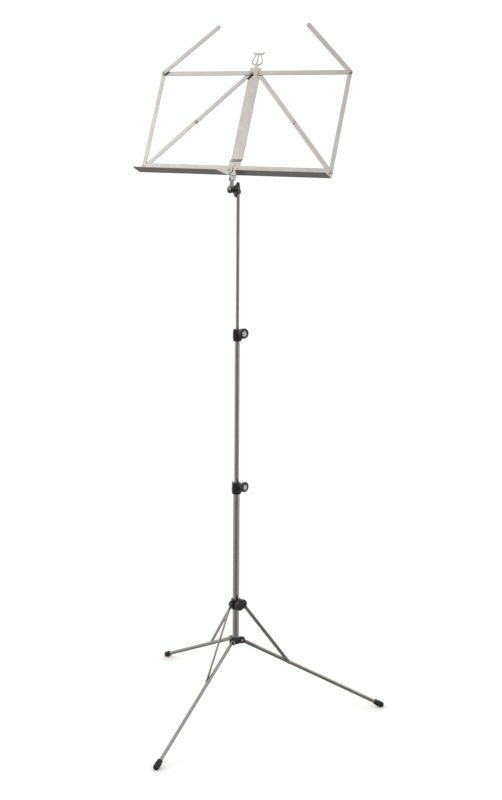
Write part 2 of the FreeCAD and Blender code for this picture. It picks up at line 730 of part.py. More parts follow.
# jointed diagonal braces: the elbow rivet is formed half on either link
brace_run = Vector(desk_end_u - fold_pivot_u, 0, tray_pivot_v - arm_pivot_v)
elbow = Vector(fold_pivot_u, 0, arm_pivot_v) + Vector(brace_run).normalize() * brace_upper_length
for side in ("right", "left"):
    upper = strip((fold_pivot_u, arm_pivot_v), (elbow.x, elbow.z), layer[1], [(fold_pivot_u, arm_pivot_v)])
    back_head = rod(pin_head_radius, at(elbow.x, elbow.z, layer[1] - rivet_head), Y * -1, rivet_head + 0.5)
    upper = upper.fuse(back_head).removeSplitter()
    lower = strip((elbow.x, elbow.z), (desk_end_u, tray_pivot_v), layer[2], [(desk_end_u, tray_pivot_v)])
    front_head = rod(pin_head_radius, at(elbow.x, elbow.z, layer[2] + sheet - 0.5), Y * -1, rivet_head + 0.5)
    lower = lower.fuse(front_head).removeSplitter()
    save("brace_upper_" + side, desk(mirrored(upper, side)))
    save("brace_lower_" + side, desk(mirrored(lower, side)))

# black buffer along the lower edge of the left upper brace
along = Vector(brace_run).normalize()
across = along.cross(Y)
if across.z > 0:
    across = across * -1
start = Vector(fold_pivot_u, 0, arm_pivot_v) + along * -3.0 + across * (strip_width / 2)
buffer_corners = [start, start + along * 15.5, start + along * 15.5 + across * 2.4, start + across * 2.4, start]
buffer_bar = plate(Part.Face(Part.makePolygon(buffer_corners)), layer[1])
clear_of_pivot = rod(strip_width / 2, at(fold_pivot_u, arm_pivot_v, -1), Y * -1, 8)
buffer_bar = buffer_bar.cut(clear_of_pivot)
save("brace_buffer", desk(mirrored(buffer_bar, "left")))
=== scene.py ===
import json
import math

import bmesh
import bpy
from mathutils import Matrix, Vector

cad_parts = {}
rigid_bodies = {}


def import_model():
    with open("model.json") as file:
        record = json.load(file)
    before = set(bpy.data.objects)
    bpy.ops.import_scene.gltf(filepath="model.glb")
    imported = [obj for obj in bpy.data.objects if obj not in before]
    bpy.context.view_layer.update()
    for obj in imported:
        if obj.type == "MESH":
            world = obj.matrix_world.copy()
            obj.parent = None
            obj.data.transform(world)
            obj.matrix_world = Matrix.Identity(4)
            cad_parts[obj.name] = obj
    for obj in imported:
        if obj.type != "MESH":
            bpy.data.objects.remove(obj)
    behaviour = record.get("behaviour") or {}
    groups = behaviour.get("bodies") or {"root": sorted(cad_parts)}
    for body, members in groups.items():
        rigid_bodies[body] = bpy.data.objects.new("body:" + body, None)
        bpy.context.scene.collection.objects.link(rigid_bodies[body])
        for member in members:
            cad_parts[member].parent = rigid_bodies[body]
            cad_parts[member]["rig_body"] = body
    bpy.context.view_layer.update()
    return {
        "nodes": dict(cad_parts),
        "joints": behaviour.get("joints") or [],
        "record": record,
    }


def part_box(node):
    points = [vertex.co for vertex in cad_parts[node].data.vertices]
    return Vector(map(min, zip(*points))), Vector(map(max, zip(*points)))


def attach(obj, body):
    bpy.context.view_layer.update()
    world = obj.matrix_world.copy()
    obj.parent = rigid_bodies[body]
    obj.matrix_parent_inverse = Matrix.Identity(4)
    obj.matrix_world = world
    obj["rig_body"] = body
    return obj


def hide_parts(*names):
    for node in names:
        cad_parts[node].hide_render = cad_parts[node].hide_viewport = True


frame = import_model()

# Sizes are in millimetres until a piece is finished. The frame is the CAD's: +Z up, floor at z = 0,
# the column on the Z axis, the musician on the -Y side.

MM_PER_METRE = 1000.0
TO_METRES = Matrix.Scale(1.0 / MM_PER_METRE, 4)
TO_MILLIMETRES = Matrix.Scale(MM_PER_METRE, 4)
UP = Vector((0, 0, 1))
joints = {j["name"]: j for j in frame["joints"]}
slots = {s["node"]: s["material_slot"] for s in frame["record"]["subparts"]}
scene = bpy.context.scene


def pivot(joint):
    return Vector(joints[joint]["pos_m"]) * MM_PER_METRE


def axis(joint):
    return Vector(joints[joint]["axis"])


def extent(node):
    low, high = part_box(node)
    return low * MM_PER_METRE, high * MM_PER_METRE


def ease(t):
    """A smooth step from 0 to 1."""
    t = min(max(t, 0.0), 1.0)
    return t * t * (3 - 2 * t)


# --- the desk's own frame: x across, y up its face, z out of its face towards the musician ---
DESK_NORMAL = axis("tray_right_fold")
DESK_UP = DESK_NORMAL.cross(Vector((1, 0, 0)))
PIVOT_TO_BACK = 2.0
SHEET = 1.5
LAYER_PITCH = 1.8
LAYER = [n * LAYER_PITCH for n in range(5)]
DESK = Matrix((Vector((1, 0, 0)), DESK_UP, DESK_NORMAL)).transposed().to_4x4()
DESK.translation = pivot("desk_tilt") + DESK_NORMAL * PIVOT_TO_BACK


def on_desk(joint):
    """A joint's place on the desk's face."""
    local = DESK.inverted() @ pivot(joint)
    return local.x, local.y


TRAY_PIVOT = on_desk("tray_right_fold")
ARM_PIVOT = on_desk("top_arm_right_fold")
ARM_END = on_desk("extension_arm_right_swing")
TRAY_CORNER = on_desk("side_strut_right_fold")
STRIP_HALF = 4.9
EDGE = 0.35

# --- other sizes shared by several pieces ---
RIVET_SHANK = 2.0
RIVET_HEAD = 3.5
RIVET_STEPS = 32
LEG_AZIMUTHS = {"front": -90.0, "right": 30.0, "left": 150.0}
LEG_PIVOT = Vector((15.0, 0.0, pivot("leg_front_fold").z))
FOOT_CENTRE = Vector((338.0, 0.0, 8.0))
LEG_LENGTH = (FOOT_CENTRE - LEG_PIVOT).length
LEG_SLOPE = math.atan2(LEG_PIVOT.z - FOOT_CENTRE.z, FOOT_CENTRE.x - LEG_PIVOT.x)
STRUT_JOINT = 122.2
STRUT_TOP = pivot("strut_front_swing").z
STRUT_SIDE = 4.55
STRUT_HALF = 4.0
STRUT_THICKNESS = 2.0


# ------------------------------------------------------------------ materials

def start_material(name):
    material = bpy.data.materials.new(name)
    material.use_nodes = True
    nodes = material.node_tree.nodes
    return material, nodes, material.node_tree.links, nodes["Principled BSDF"]


def stretched_coordinates(nodes, links, along, squeeze):
    """Object coordinates in millimetres, squeezed along one direction to draw noise out into grain."""
    coordinates = nodes.new("ShaderNodeTexCoord")
    turn = nodes.new("ShaderNodeMapping")
    turn.inputs["Rotation"].default_value = along.rotation_difference(UP).to_euler()
    links.new(coordinates.outputs["Object"], turn.inputs["Vector"])
    squash = nodes.new("ShaderNodeMapping")
    squash.inputs["Scale"].default_value = (MM_PER_METRE, MM_PER_METRE, MM_PER_METRE * squeeze)
    links.new(turn.outputs["Vector"], squash.inputs["Vector"])
    return squash.outputs["Vector"]


def noise(nodes, links, vector, scale, detail=4.0, roughness=0.55):
    texture = nodes.new("ShaderNodeTexNoise")
    texture.inputs["Scale"].default_value = scale
    texture.inputs["Detail"].default_value = detail
    texture.inputs["Roughness"].default_value = roughness
    links.new(vector, texture.inputs["Vector"])
    return texture.outputs["Fac"]


def ramp(nodes, links, value, stops):
    """A colour ramp from (position, colour) stops."""
    node = nodes.new("ShaderNodeValToRGB")
    elements = node.color_ramp.elements
    while len(elements) < len(stops):
        elements.new(0.5)
    for element, (position, colour) in zip(elements, stops):
        element.position = position
        element.color = (*colour, 1.0)
    links.new(value, node.inputs["Fac"])
    return node.outputs["Color"]


def spread(nodes, links, value, low, high):
    """Carries the middle of a noise value to the range low to high."""
    node = nodes.new("ShaderNodeMapRange")
    node.inputs["From Min"].default_value = 0.3
    node.inputs["From Max"].default_value = 0.7
    node.inputs["To Min"].default_value = low
    node.inputs["To Max"].default_value = high
    links.new(value, node.inputs["Value"])
    return node.outputs["Result"]


def bump(nodes, links, shader, layers):
    """Stacks bump layers of (height output, strength, distance in metres) onto the shader's normal."""
    normal = None
    for height, strength, distance in layers:
        node = nodes.new("ShaderNodeBump")
        node.inputs["Strength"].default_value = strength
        node.inputs["Distance"].default_value = distance
        links.new(height, node.inputs["Height"])
        if normal:
            links.new(normal, node.inputs["Normal"])
        normal = node.outputs["Normal"]
    links.new(normal, shader.inputs["Normal"])


def metal(name, light, dark, roughness, along=UP, squeeze=1.0, grain=1.1, clouds=0.035):
    """Plated metal: clouded tone, grain in the roughness and the bump, and a few scuffs."""
    material, nodes, links, shader = start_material(name)
    grained = stretched_coordinates(nodes, links, along, squeeze)
    even = stretched_coordinates(nodes, links, along, 1.0)
    fine = noise(nodes, links, grained, grain)
    cloud = noise(nodes, links, even, clouds, 5.0, 0.6)
    scuff = noise(nodes, links, even, 0.25, 8.0, 0.75)
    tone = nodes.new("ShaderNodeMix")
    tone.data_type = "RGBA"
    tone.blend_type = "MULTIPLY"
    tone.inputs["Factor"].default_value = 0.6
    links.new(ramp(nodes, links, cloud, [(0.3, dark), (0.7, light)]), tone.inputs["A"])
    links.new(ramp(nodes, links, fine, [(0.3, (0.9, 0.9, 0.9)), (0.6, (1, 1, 1))]), tone.inputs["B"])
    links.new(tone.outputs["Result"], shader.inputs["Base Color"])
    shader.inputs["Metallic"].default_value = 1.0
    mixed = nodes.new("ShaderNodeMath")
    mixed.operation = "ADD"
    links.new(spread(nodes, links, fine, roughness - 0.05, roughness + 0.05), mixed.inputs[0])
    links.new(spread(nodes, links, scuff, -0.04, 0.06), mixed.inputs[1])
    links.new(mixed.outputs["Value"], shader.inputs["Roughness"])
    bump(nodes, links, shader, [(fine, 0.12, 0.00004), (scuff, 0.06, 0.00006)])
    return material


def plastic(name, light, dark, roughness, texture_scale, depth):
    """Moulded plastic or rubber: fine eroded texture, slightly cloudy, rubbed paler in places."""
    material, nodes, links, shader = start_material(name)
    even = stretched_coordinates(nodes, links, UP, 1.0)
    cells = nodes.new("ShaderNodeTexVoronoi")
    cells.inputs["Scale"].default_value = texture_scale
    links.new(even, cells.inputs["Vector"])
    fine = noise(nodes, links, even, texture_scale * 1.7, 6.0, 0.65)
    cloud = noise(nodes, links, even, 0.12, 5.0, 0.6)
    links.new(ramp(nodes, links, cloud, [(0.35, dark), (0.72, light)]), shader.inputs["Base Color"])
    links.new(spread(nodes, links, cloud, roughness - 0.06, roughness + 0.08), shader.inputs["Roughness"])
    shader.inputs["Specular IOR Level"].default_value = 0.35
    bump(nodes, links, shader, [(cells.outputs["Distance"], 0.25, depth), (fine, 0.2, depth)])
    return material


def spun_metal(name, light, dark, centre, facing):
    """Turned metal: concentric fine lines about an axis."""
    material, nodes, links, shader = start_material(name)
    coordinates = nodes.new("ShaderNodeTexCoord")
    shift = nodes.new("ShaderNodeVectorMath")
    shift.operation = "SUBTRACT"
    shift.inputs[1].default_value = centre / MM_PER_METRE
    links.new(coordinates.outputs["Object"], shift.inputs[0])
    turn = nodes.new("ShaderNodeMapping")
    turn.inputs["Rotation"].default_value = facing.rotation_difference(UP).to_euler()
    turn.inputs["Scale"].default_value = (MM_PER_METRE, MM_PER_METRE, MM_PER_METRE)
    links.new(shift.outputs["Vector"], turn.inputs["Vector"])
    rings = nodes.new("ShaderNodeTexWave")
    rings.wave_type = "RINGS"
    rings.rings_direction = "Z"
    rings.inputs["Scale"].default_value = 0.9
    rings.inputs["Distortion"].default_value = 0.6
    rings.inputs["Detail"].default_value = 3.0
    links.new(turn.outputs["Vector"], rings.inputs["Vector"])
    line = rings.outputs["Fac"]
    links.new(ramp(nodes, links, line, [(0.2, dark), (0.8, light)]), shader.inputs["Base Color"])
    shader.inputs["Metallic"].default_value = 1.0
    links.new(spread(nodes, links, line, 0.24, 0.36), shader.inputs["Roughness"])
    bump(nodes, links, shader, [(line, 0.2, 0.00003)])
    return material


def tones(light, dark):
    return {"light": light, "dark": dark}


NICKEL = tones((0.352, 0.33, 0.314), (0.314, 0.292, 0.277))
ZINC = tones((0.23, 0.26, 0.245), (0.15, 0.175, 0.16))
BRASS = tones((0.75, 0.56, 0.28), (0.6, 0.43, 0.2))
SILVER = tones((0.5, 0.495, 0.48), (0.34, 0.335, 0.325))
BLACK = tones((0.012, 0.0125, 0.0145), (0.005, 0.0055, 0.0065))
RUBBER = tones((0.014, 0.014, 0.014), (0.006, 0.006, 0.006))
GREY = tones((0.14, 0.14, 0.15), (0.09, 0.09, 0.1))
FIBRE = tones((0.05, 0.045, 0.04), (0.02, 0.018, 0.016))
SATIN = 0.36
DRAWN = 0.03
materials = {
    "nickel_steel": metal("satin_nickel", roughness=SATIN, **NICKEL),
    "zinc_steel": metal("zinc_plate", roughness=0.25, clouds=0.2, **ZINC),
    "black_plastic": plastic("black_plastic", roughness=0.3, texture_scale=2.2, depth=0.00005, **BLACK),
    "rubber_black": plastic("black_rubber", roughness=0.6, texture_scale=1.5, depth=0.00008, **RUBBER),
    "bush_plastic": plastic("grey_plastic", roughness=0.5, texture_scale=1.8, depth=0.00004, **GREY),
    "washer_fibre": plastic("fibre_washer", roughness=0.8, texture_scale=2.5, depth=0.0001, **FIBRE),
    "brass_insert": metal("brass", roughness=0.3, clouds=0.2, **BRASS),
}
column_nickel = metal("drawn_nickel_tube", roughness=0.26, along=UP, squeeze=DRAWN, **NICKEL)


# ------------------------------------------------------------------ mesh building

def smooth_curve(points, steps=6):
    """Points of a smooth curve through the given ones (Catmull-Rom)."""
    rounded = []
    for n in range(len(points) - 1):
        a = Vector(points[max(n - 1, 0)])
        b = Vector(points[n])
        c = Vector(points[n + 1])
        d = Vector(points[min(n + 2, len(points) - 1)])
        for k in range(steps):
            t = k / steps
            square = (2 * a - 5 * b + 4 * c - d) * t ** 2
            cube = (3 * b - a - 3 * c + d) * t ** 3
            rounded.append(tuple(0.5 * (2 * b + (c - a) * t + square + cube)))
    rounded.append(tuple(points[-1]))
    return rounded


def arc(centre, radius, start, end, steps=12):
    angles = [math.radians(start + (end - start) * n / steps) for n in range(steps + 1)]
    return [(centre[0] + radius * math.cos(a), centre[1] + radius * math.sin(a)) for a in angles]


def bar_outline(p, q, radius):
    """A bar with round ends."""
    heading = math.degrees(math.atan2(q[1] - p[1], q[0] - p[0]))
    return arc(q, radius, heading - 90, heading + 90, 20) + arc(p, radius, heading + 90, heading + 270, 20)


def plate(outline, thickness, holes=(), edge=EDGE):
    """A flat plate with rounded edges, its back at z = 0."""
    curve = bpy.data.curves.new("outline", "CURVE")
    curve.dimensions = "2D"
    curve.fill_mode = "BOTH"
    curve.extrude = thickness / 2 - edge
    curve.bevel_depth = edge
    curve.bevel_resolution = 2
    curve.offset = -edge
    for loop in (outline, *holes):
        spline = curve.splines.new("POLY")
        spline.points.add(len(loop) - 1)
        for point, (x, y) in zip(spline.points, loop):
            point.co = (x, y, 0, 1)
        spline.use_cyclic_u = True
    carrier = bpy.data.objects.new("outline", curve)
    mesh = bpy.data.meshes.new_from_object(carrier)
    bm = bmesh.new()
    bm.from_mesh(mesh)
    bmesh.ops.remove_doubles(bm, verts=bm.verts, dist=0.002)
    bmesh.ops.translate(bm, verts=bm.verts, vec=(0, 0, thickness / 2))
    bpy.data.objects.remove(carrier)
    bpy.data.curves.remove(curve)
    bpy.data.meshes.remove(mesh)
    return bm


def lathe(profile, steps=48, closed=False, shape=None):
    """Turns (radius, height) points about Z. shape(angle, radius) may change a radius."""
    bm = bmesh.new()
    rings = []
    for radius, height in profile:
        if radius < 1e-6:
            rings.append([bm.verts.new((0, 0, height))])
            continue
        ring = []
        for n in range(steps):
            angle = 2 * math.pi * n / steps
            r = shape(angle, radius) if shape else radius
            ring.append(bm.verts.new((r * math.cos(angle), r * math.sin(angle), height)))
        rings.append(ring)
    pairs = list(zip(rings, rings[1:]))
    if closed:
        pairs.append((rings[-1], rings[0]))
    for low, high in pairs:
        for n in range(steps):
            m = (n + 1) % steps
            if len(low) == 1 and len(high) == 1:
                continue
            if len(low) == 1:
                bm.faces.new((low[0], high[m], high[n]))
            elif len(high) == 1:
                bm.faces.new((low[n], low[m], high[0]))
            else:
                bm.faces.new((low[n], low[m], high[m], high[n]))
    return bm


def loft(sections):
    """Skins rings of equal point count and caps both ends."""
    bm = bmesh.new()
    rings = [[bm.verts.new(p) for p in section] for section in sections]
    count = len(rings[0])
    for low, high in zip(rings, rings[1:]):
        for n in range(count):
            m = (n + 1) % count
            bm.faces.new((low[n], low[m], high[m], high[n]))
    bm.faces.new(rings[0][::-1])
    bm.faces.new(rings[-1])
    return bm


def superellipse(half_width, half_height, power, steps=40):
    """A ring that goes from round (power 2) towards a rounded rectangle."""
    points = []
    for n in range(steps):
        a = 2 * math.pi * n / steps
        x = math.copysign(abs(math.cos(a)) ** (2 / power), math.cos(a))
        y = math.copysign(abs(math.sin(a)) ** (2 / power), math.sin(a))
        points.append((half_width * x, half_height * y))
    return points


def merge(target, *others):
    """Adds other meshes to target as separate shells."""
    for other in others:
        mesh = bpy.data.meshes.new("part")
        other.to_mesh(mesh)
        target.from_mesh(mesh)
        bpy.data.meshes.remove(mesh)
        other.free()
    return target


def moved(bm, matrix):
    bm.transform(matrix)
    if matrix.determinant() < 0:
        bmesh.ops.reverse_faces(bm, faces=bm.faces)
    return bm


def towards(start, direction):
    """A matrix that carries Z to a direction, starting at a point."""
    turn = UP.rotation_difference(Vector(direction)).to_matrix().to_4x4()
    return Matrix.Translation(start) @ turn


def cross_cuts(bm, direction, places):
    """Adds edges square to a direction at each place along it."""
    for place in places:
        geometry = bm.verts[:] + bm.edges[:] + bm.faces[:]
        bmesh.ops.bisect_plane(bm, geom=geometry, plane_co=direction * place, plane_no=direction, dist=1e-5)


def piece(node, bm, material=None, crease=35.0, weighted=True):
    """Turns a mesh in millimetres into the shown piece that stands for a CAD node."""
    bm.transform(TO_METRES)
    bmesh.ops.recalc_face_normals(bm, faces=bm.faces)
    mesh = bpy.data.meshes.new(node + "_form")
    bm.to_mesh(mesh)
    bm.free()
    mesh.shade_smooth()
    mesh.set_sharp_from_angle(angle=math.radians(crease))
    made = bpy.data.objects.new(node + "_form", mesh)
    scene.collection.objects.link(made)
    mesh.materials.append(material or materials[slots[node]])
    if weighted:
        modifier = made.modifiers.new("flat_faces", "WEIGHTED_NORMAL")
        modifier.keep_sharp = True
    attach(made, frame["nodes"][node]["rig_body"])
    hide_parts(node)
    return made


def node_copy(node):
    """A CAD node's mesh as one welded mesh, in millimetres."""
    bm = bmesh.new()
    bm.from_mesh(frame["nodes"][node].data)
    bm.transform(TO_MILLIMETRES)
    bmesh.ops.remove_doubles(bm, verts=bm.verts, dist=0.004)
    return bm


def with_modifiers(bm, build):
    """Runs modifiers over a mesh and returns the result."""
    mesh = bpy.data.meshes.new("work")
    bm.to_mesh(mesh)
    bm.free()
    work = bpy.data.objects.new("work", mesh)
    scene.collection.objects.link(work)
    build(work)
    evaluated = work.evaluated_get(bpy.context.evaluated_depsgraph_get())
    result = bmesh.new()
    result.from_mesh(evaluated.to_mesh())
    evaluated.to_mesh_clear()
    bpy.data.objects.remove(work)
    bpy.data.meshes.remove(mesh)
    return result


def moulded(node, voxel=0.4, passes=6, keep=0.35):
    """A moulded plastic piece: the CAD form with every edge and inner corner rounded."""

    def build(work):
        remesh = work.modifiers.new("remesh", "REMESH")
        remesh.mode = "VOXEL"
        remesh.voxel_size = voxel
        smooth = work.modifiers.new("smooth", "SMOOTH")
        smooth.factor = 0.5
        smooth.iterations = passes
        decimate = work.modifiers.new("decimate", "DECIMATE")
        decimate.ratio = keep

    return piece(node, with_modifiers(node_copy(node), build), crease=80.0, weighted=False)


def pressed(node, width=0.3):
    """A pressed or turned metal piece: the CAD form with its sharp edges broken."""
    bm = node_copy(node)
    bmesh.ops.dissolve_limit(bm, angle_limit=math.radians(2), verts=bm.verts, edges=bm.edges)

    def build(work):
        bevel = work.modifiers.new("bevel", "BEVEL")
        bevel.width = width
        bevel.segments = 3
        bevel.limit_method = "ANGLE"
        bevel.angle_limit = math.radians(40)
        bevel.harden_normals = False

    return piece(node, with_modifiers(bm, build))


# ------------------------------------------------------------------ rivets

def dome(radius, height, steps=7):
    """Profile of a domed head from its rim to its crown, starting at height 0."""
    rim = 0.15
    points = [(radius - 0.12, 0.0), (radius, rim)]
    for n in range(1, steps):
        a = math.pi / 2 * n / steps
        points.append((radius * math.cos(a), rim + (height - rim) * math.sin(a)))
    return points + [(0.0, height)]


def rivet(length, low_head, high_head, shank=RIVET_SHANK, head=RIVET_HEAD):
    """A rivet along Z whose shank runs from 0 to length, with domed heads of the given heights."""
    low = [(r, -h) for r, h in dome(head, low_head)][::-1] if low_head else [(0.0, 0.0)]
    high = [(r, length + h) for r, h in dome(head, high_head)] if high_head else [(0.0, length)]
    return lathe(low + [(shank, 0.0), (shank, length)] + high, RIVET_STEPS)


def formed_head(height):
    """A domed head formed on a flat piece, sunk a little into it."""
    sunk = -0.3
    return lathe([(0.0, sunk), (3.2, sunk)] + dome(RIVET_HEAD, height), RIVET_STEPS)


def desk_rivet(place, low, high, low_head, high_head):
    return moved(rivet(high - low, low_head, high_head), DESK @ Matrix.Translation((*place, low)))


# ------------------------------------------------------------------ desk

HEAD = 1.25
GAP = 0.1
BRACE_UPPER_LENGTH = 157.5
EXTENSION_LENGTH = 158.5
EXTENSION_ANGLE = math.radians(180.0 - 42.3)


def mirrored_points(points, sign):
    return [(sign * x, y) for x, y in points]


def strip(node, p, q, layer, sign, head=None):
    """A flat strip with round ends; head is (place, from height, direction) of a formed elbow rivet."""
    bm = plate(mirrored_points(bar_outline(p, q, STRIP_HALF), sign), SHEET)
    moved(bm, DESK @ Matrix.Translation((0, 0, LAYER[layer])))
    if head:
        (x, y), height, direction = head
        place = DESK @ Matrix.Translation((sign * x, y, height))
        if direction < 0:
            place = place @ Matrix.Rotation(math.pi, 4, "X")
        merge(bm, moved(formed_head(HEAD), place))
    return piece(node, bm)


brace_run = Vector((TRAY_CORNER[0] - ARM_PIVOT[0], TRAY_CORNER[1] - ARM_PIVOT[1])).normalized()
ELBOW = tuple(Vector(ARM_PIVOT) + brace_run * BRACE_UPPER_LENGTH)
EXTENSION_TIP = (
    ARM_END[0] + EXTENSION_LENGTH * math.cos(EXTENSION_ANGLE),
    ARM_END[1] + EXTENSION_LENGTH * math.sin(EXTENSION_ANGLE),
)
for side, sign in (("right", 1), ("left", -1)):
    strip("top_arm_" + side, ARM_PIVOT, ARM_END, 2, sign)
    strip("side_strut_" + side, TRAY_CORNER, ARM_END, 3, sign)
    strip("extension_arm_" + side, ARM_END, EXTENSION_TIP, 4, sign)
    strip("brace_upper_" + side, ARM_PIVOT, ELBOW, 1, sign, head=(ELBOW, LAYER[1], -1))
    strip("brace_lower_" + side, ELBOW, TRAY_CORNER, 2, sign, head=(ELBOW, LAYER[2] + SHEET, 1))
    end = (sign * ARM_END[0], ARM_END[1])
    top = LAYER[4] + SHEET
    piece("arm_rivet_" + side, desk_rivet(end, LAYER[2], top + GAP, HEAD, HEAD))
    corner = (sign * TRAY_CORNER[0], TRAY_CORNER[1])
    piece("tray_rivet_" + side, desk_rivet(corner, LAYER[2] - GAP, top, HEAD, HEAD))

spine_rivets = bmesh.new()
for sign in (-1, 1):
    upper = (sign * ARM_PIVOT[0], ARM_PIVOT[1])
    lower = (sign * TRAY_PIVOT[0], TRAY_PIVOT[1])
    merge(
        spine_rivets,
        desk_rivet(upper, 0.0, LAYER[2] + SHEET + GAP, HEAD, HEAD),
        desk_rivet(lower, LAYER[3], LAYER[4] + SHEET + GAP, HEAD, HEAD),
    )
piece("spine_rivets", spine_rivets)

# spine: a plate with its finial, stepped forward below
SPINE_HALF = 13.75
SPINE_LOW = 29.0
SPINE_TOP = ARM_PIVOT[1] + 14.0
STEP_LOW = 58.0
STEP_HIGH = 68.0
CORNER = 5.0


def spine_outline():
    """The plate and its finial: a vase with a cross bar at its mouth, drawn as one half and mirrored."""
    belly = [(3.0, 15.0), (4.2, 18.0), (11.0, 21.5), (13.2, 27.0), (11.6, 34.0), (8.8, 40.0), (8.0, 43.4)]
    bar = [(9.2, 43.6), (12.0, 45.4), (14.2, 49.0), (12.2, 49.4), (8.0, 48.2), (0.0, 48.2)]
    inner = SPINE_HALF - CORNER
    half = [(inner, SPINE_LOW), (SPINE_HALF, SPINE_LOW + CORNER), (SPINE_HALF, SPINE_TOP - CORNER)]
    half += arc((inner, SPINE_TOP - CORNER), CORNER, 20, 90, 6)
    half += [(4.2, SPINE_TOP)]
    half += [(x, y + ARM_PIVOT[1]) for x, y in smooth_curve(belly) + smooth_curve(bar)]
    return half + [(-x, y) for x, y in half[::-1] if x > 0.01]


def finial_window(sign):
    """One of the two openings beside the stem."""
    outer = smooth_curve([(2.4, 22.4), (8.2, 23.6), (10.7, 27.5), (9.4, 34.0), (6.7, 40.0), (5.8, 43.2)])
    inner = [(1.4, 43.2), (1.4, 30.0)]
    return [(sign * x, y + ARM_PIVOT[1]) for x, y in outer + inner]


def stepped(bm, low, high, drop):
    """Steps a plate forward by drop below the band from low to high."""
    count = 14
    cross_cuts(bm, Vector((0, 1, 0)), [low + (high - low) * n / count for n in range(count + 1)])
    for vert in bm.verts:
        vert.co.z += drop * ease((high - vert.co.y) / (high - low))
    return bm


spine = plate(spine_outline(), SHEET, [finial_window(1), finial_window(-1)])
stepped(spine, STEP_LOW, STEP_HIGH, LAYER[3])
piece("spine", moved(spine, DESK), crease=50.0)

# trays: flange and ledge bent from one sheet
FLANGE_ABOVE = 8.6
FLANGE_BELOW = 13.0
TRAY_END = 233.0
LEDGE_DEPTH = 34.0
LEDGE_CORNER = 4.0
BEND_INSIDE = 1.2
BEND_LINE = TRAY_PIVOT[1] - FLANGE_BELOW + SHEET + BEND_INSIDE
BEND_MIDDLE = BEND_INSIDE + SHEET / 2
BEND_LENGTH = BEND_MIDDLE * math.pi / 2
FRONT = BEND_LINE - BEND_LENGTH - (LEDGE_DEPTH - SHEET - BEND_INSIDE)


def tray_blank():
    """The tray half as a flat blank before bending."""
    x, y = TRAY_PIVOT
    outline = arc((x, y), FLANGE_ABOVE, 90, 250, 24)
    outline += [(x + 2.0, BEND_LINE - BEND_LENGTH), (x + 14.0, FRONT)]
    corner_x = TRAY_END - LEDGE_CORNER
    outline += arc((corner_x, FRONT + LEDGE_CORNER), LEDGE_CORNER, -90, 0, 8)
    outline += arc((corner_x, y + FLANGE_ABOVE - LEDGE_CORNER), LEDGE_CORNER, 0, 90, 8)
    return outline


def bent(bm):
    """Bends the blank forward along its bend line."""
    cuts = [BEND_LINE - BEND_LENGTH * n / 8 for n in range(9)]
    cross_cuts(bm, Vector((0, 1, 0)), cuts)
    for vert in bm.verts:
        run = BEND_LINE - vert.co.y
        if run <= 0:
            continue
        radius = SHEET + BEND_INSIDE - vert.co.z
        angle = min(run / BEND_MIDDLE, math.pi / 2)
        past = max(run - BEND_LENGTH, 0.0)
        vert.co.y = BEND_LINE - radius * math.sin(angle)
        vert.co.z = SHEET + BEND_INSIDE - radius * math.cos(angle) + past
    return bm


for side, sign in (("right", 1), ("left", -1)):
    tray = bent(plate(mirrored_points(tray_blank(), sign), SHEET))
    piece("tray_" + side, moved(tray, DESK @ Matrix.Translation((0, 0, LAYER[4]))), crease=50.0)


# ------------------------------------------------------------------ tripod

TONGUE_HALF_WIDTH = 4.5
TONGUE_HALF_THICKNESS = 2.3
LEG_HALF_HEIGHT = 4.3
LEG_HALF_THICKNESS = 3.2
TONGUE_END = 22.0
ROUND_FROM = 46.0
INTO_FOOT = 5.0
LEG_RIVET_SUNK = 0.9
LEG_RIVET_LENGTH = 1.0
LEG_RIVET_HEAD = 1.2
STRUT_RIVET_HEAD = 1.4
HUB_RIVET_HEAD = 1.4
COLLAR_RIVET_HEAD = 1.0


def leg_sections():
    """Rings along the leg's X: a flattened round-ended tongue that swells into a flat-oval tube."""
    places = [-TONGUE_HALF_WIDTH * math.cos(math.pi / 2 * n / 8) for n in range(9)]
    places += [TONGUE_END + (ROUND_FROM - TONGUE_END) * n / 12 for n in range(13)]
    places += [LEG_LENGTH + INTO_FOOT]
    sections = []
    for x in places:
        t = ease((x - TONGUE_END) / (ROUND_FROM - TONGUE_END))
        width = TONGUE_HALF_WIDTH + (LEG_HALF_HEIGHT - TONGUE_HALF_WIDTH) * t
        thickness = TONGUE_HALF_THICKNESS + (LEG_HALF_THICKNESS - TONGUE_HALF_THICKNESS) * t
        if x < 0:
            width = max(math.sqrt(max(TONGUE_HALF_WIDTH ** 2 - x * x, 0.0)), 0.6)
        ring = superellipse(thickness, width, 2.4 + 2.6 * (1 - t))
        sections.append([(x, y, z) for y, z in ring])
    return sections


def placed_on_leg(azimuth):
    turn = Matrix.Rotation(math.radians(azimuth), 4, "Z")
    return turn @ Matrix.Translation(LEG_PIVOT) @ Matrix.Rotation(LEG_SLOPE, 4, "Y")


def foot_profile():
    """The cap along the leg: a thin mouth, ribs, a swollen body and a round nose."""
    mouth = -13.0
    inside = LEG_HALF_HEIGHT
    points = [(inside, mouth + 4.0), (inside, mouth + 0.3), (inside + 0.4, mouth)]
    lip = [(5.6, 0.0), (6.15, 0.5), (6.3, 1.4), (6.15, 2.2), (6.05, 2.8)]
    body = [(6.3, 3.8), (6.6, 7.0), (6.8, 12.0), (6.8, 16.0)]
    points += [(radius, mouth + run) for radius, run in lip + body]
    for n in range(1, 8):
        a = math.pi / 2 * n / 8
        points.append((2.0 + 4.8 * math.cos(a), 5.0 + 6.0 * math.sin(a)))
    return points + [(0.0, 11.0)]


def drawn_nickel(name, along):
    return metal("drawn_nickel_" + name, roughness=SATIN, along=along, squeeze=DRAWN, **NICKEL)


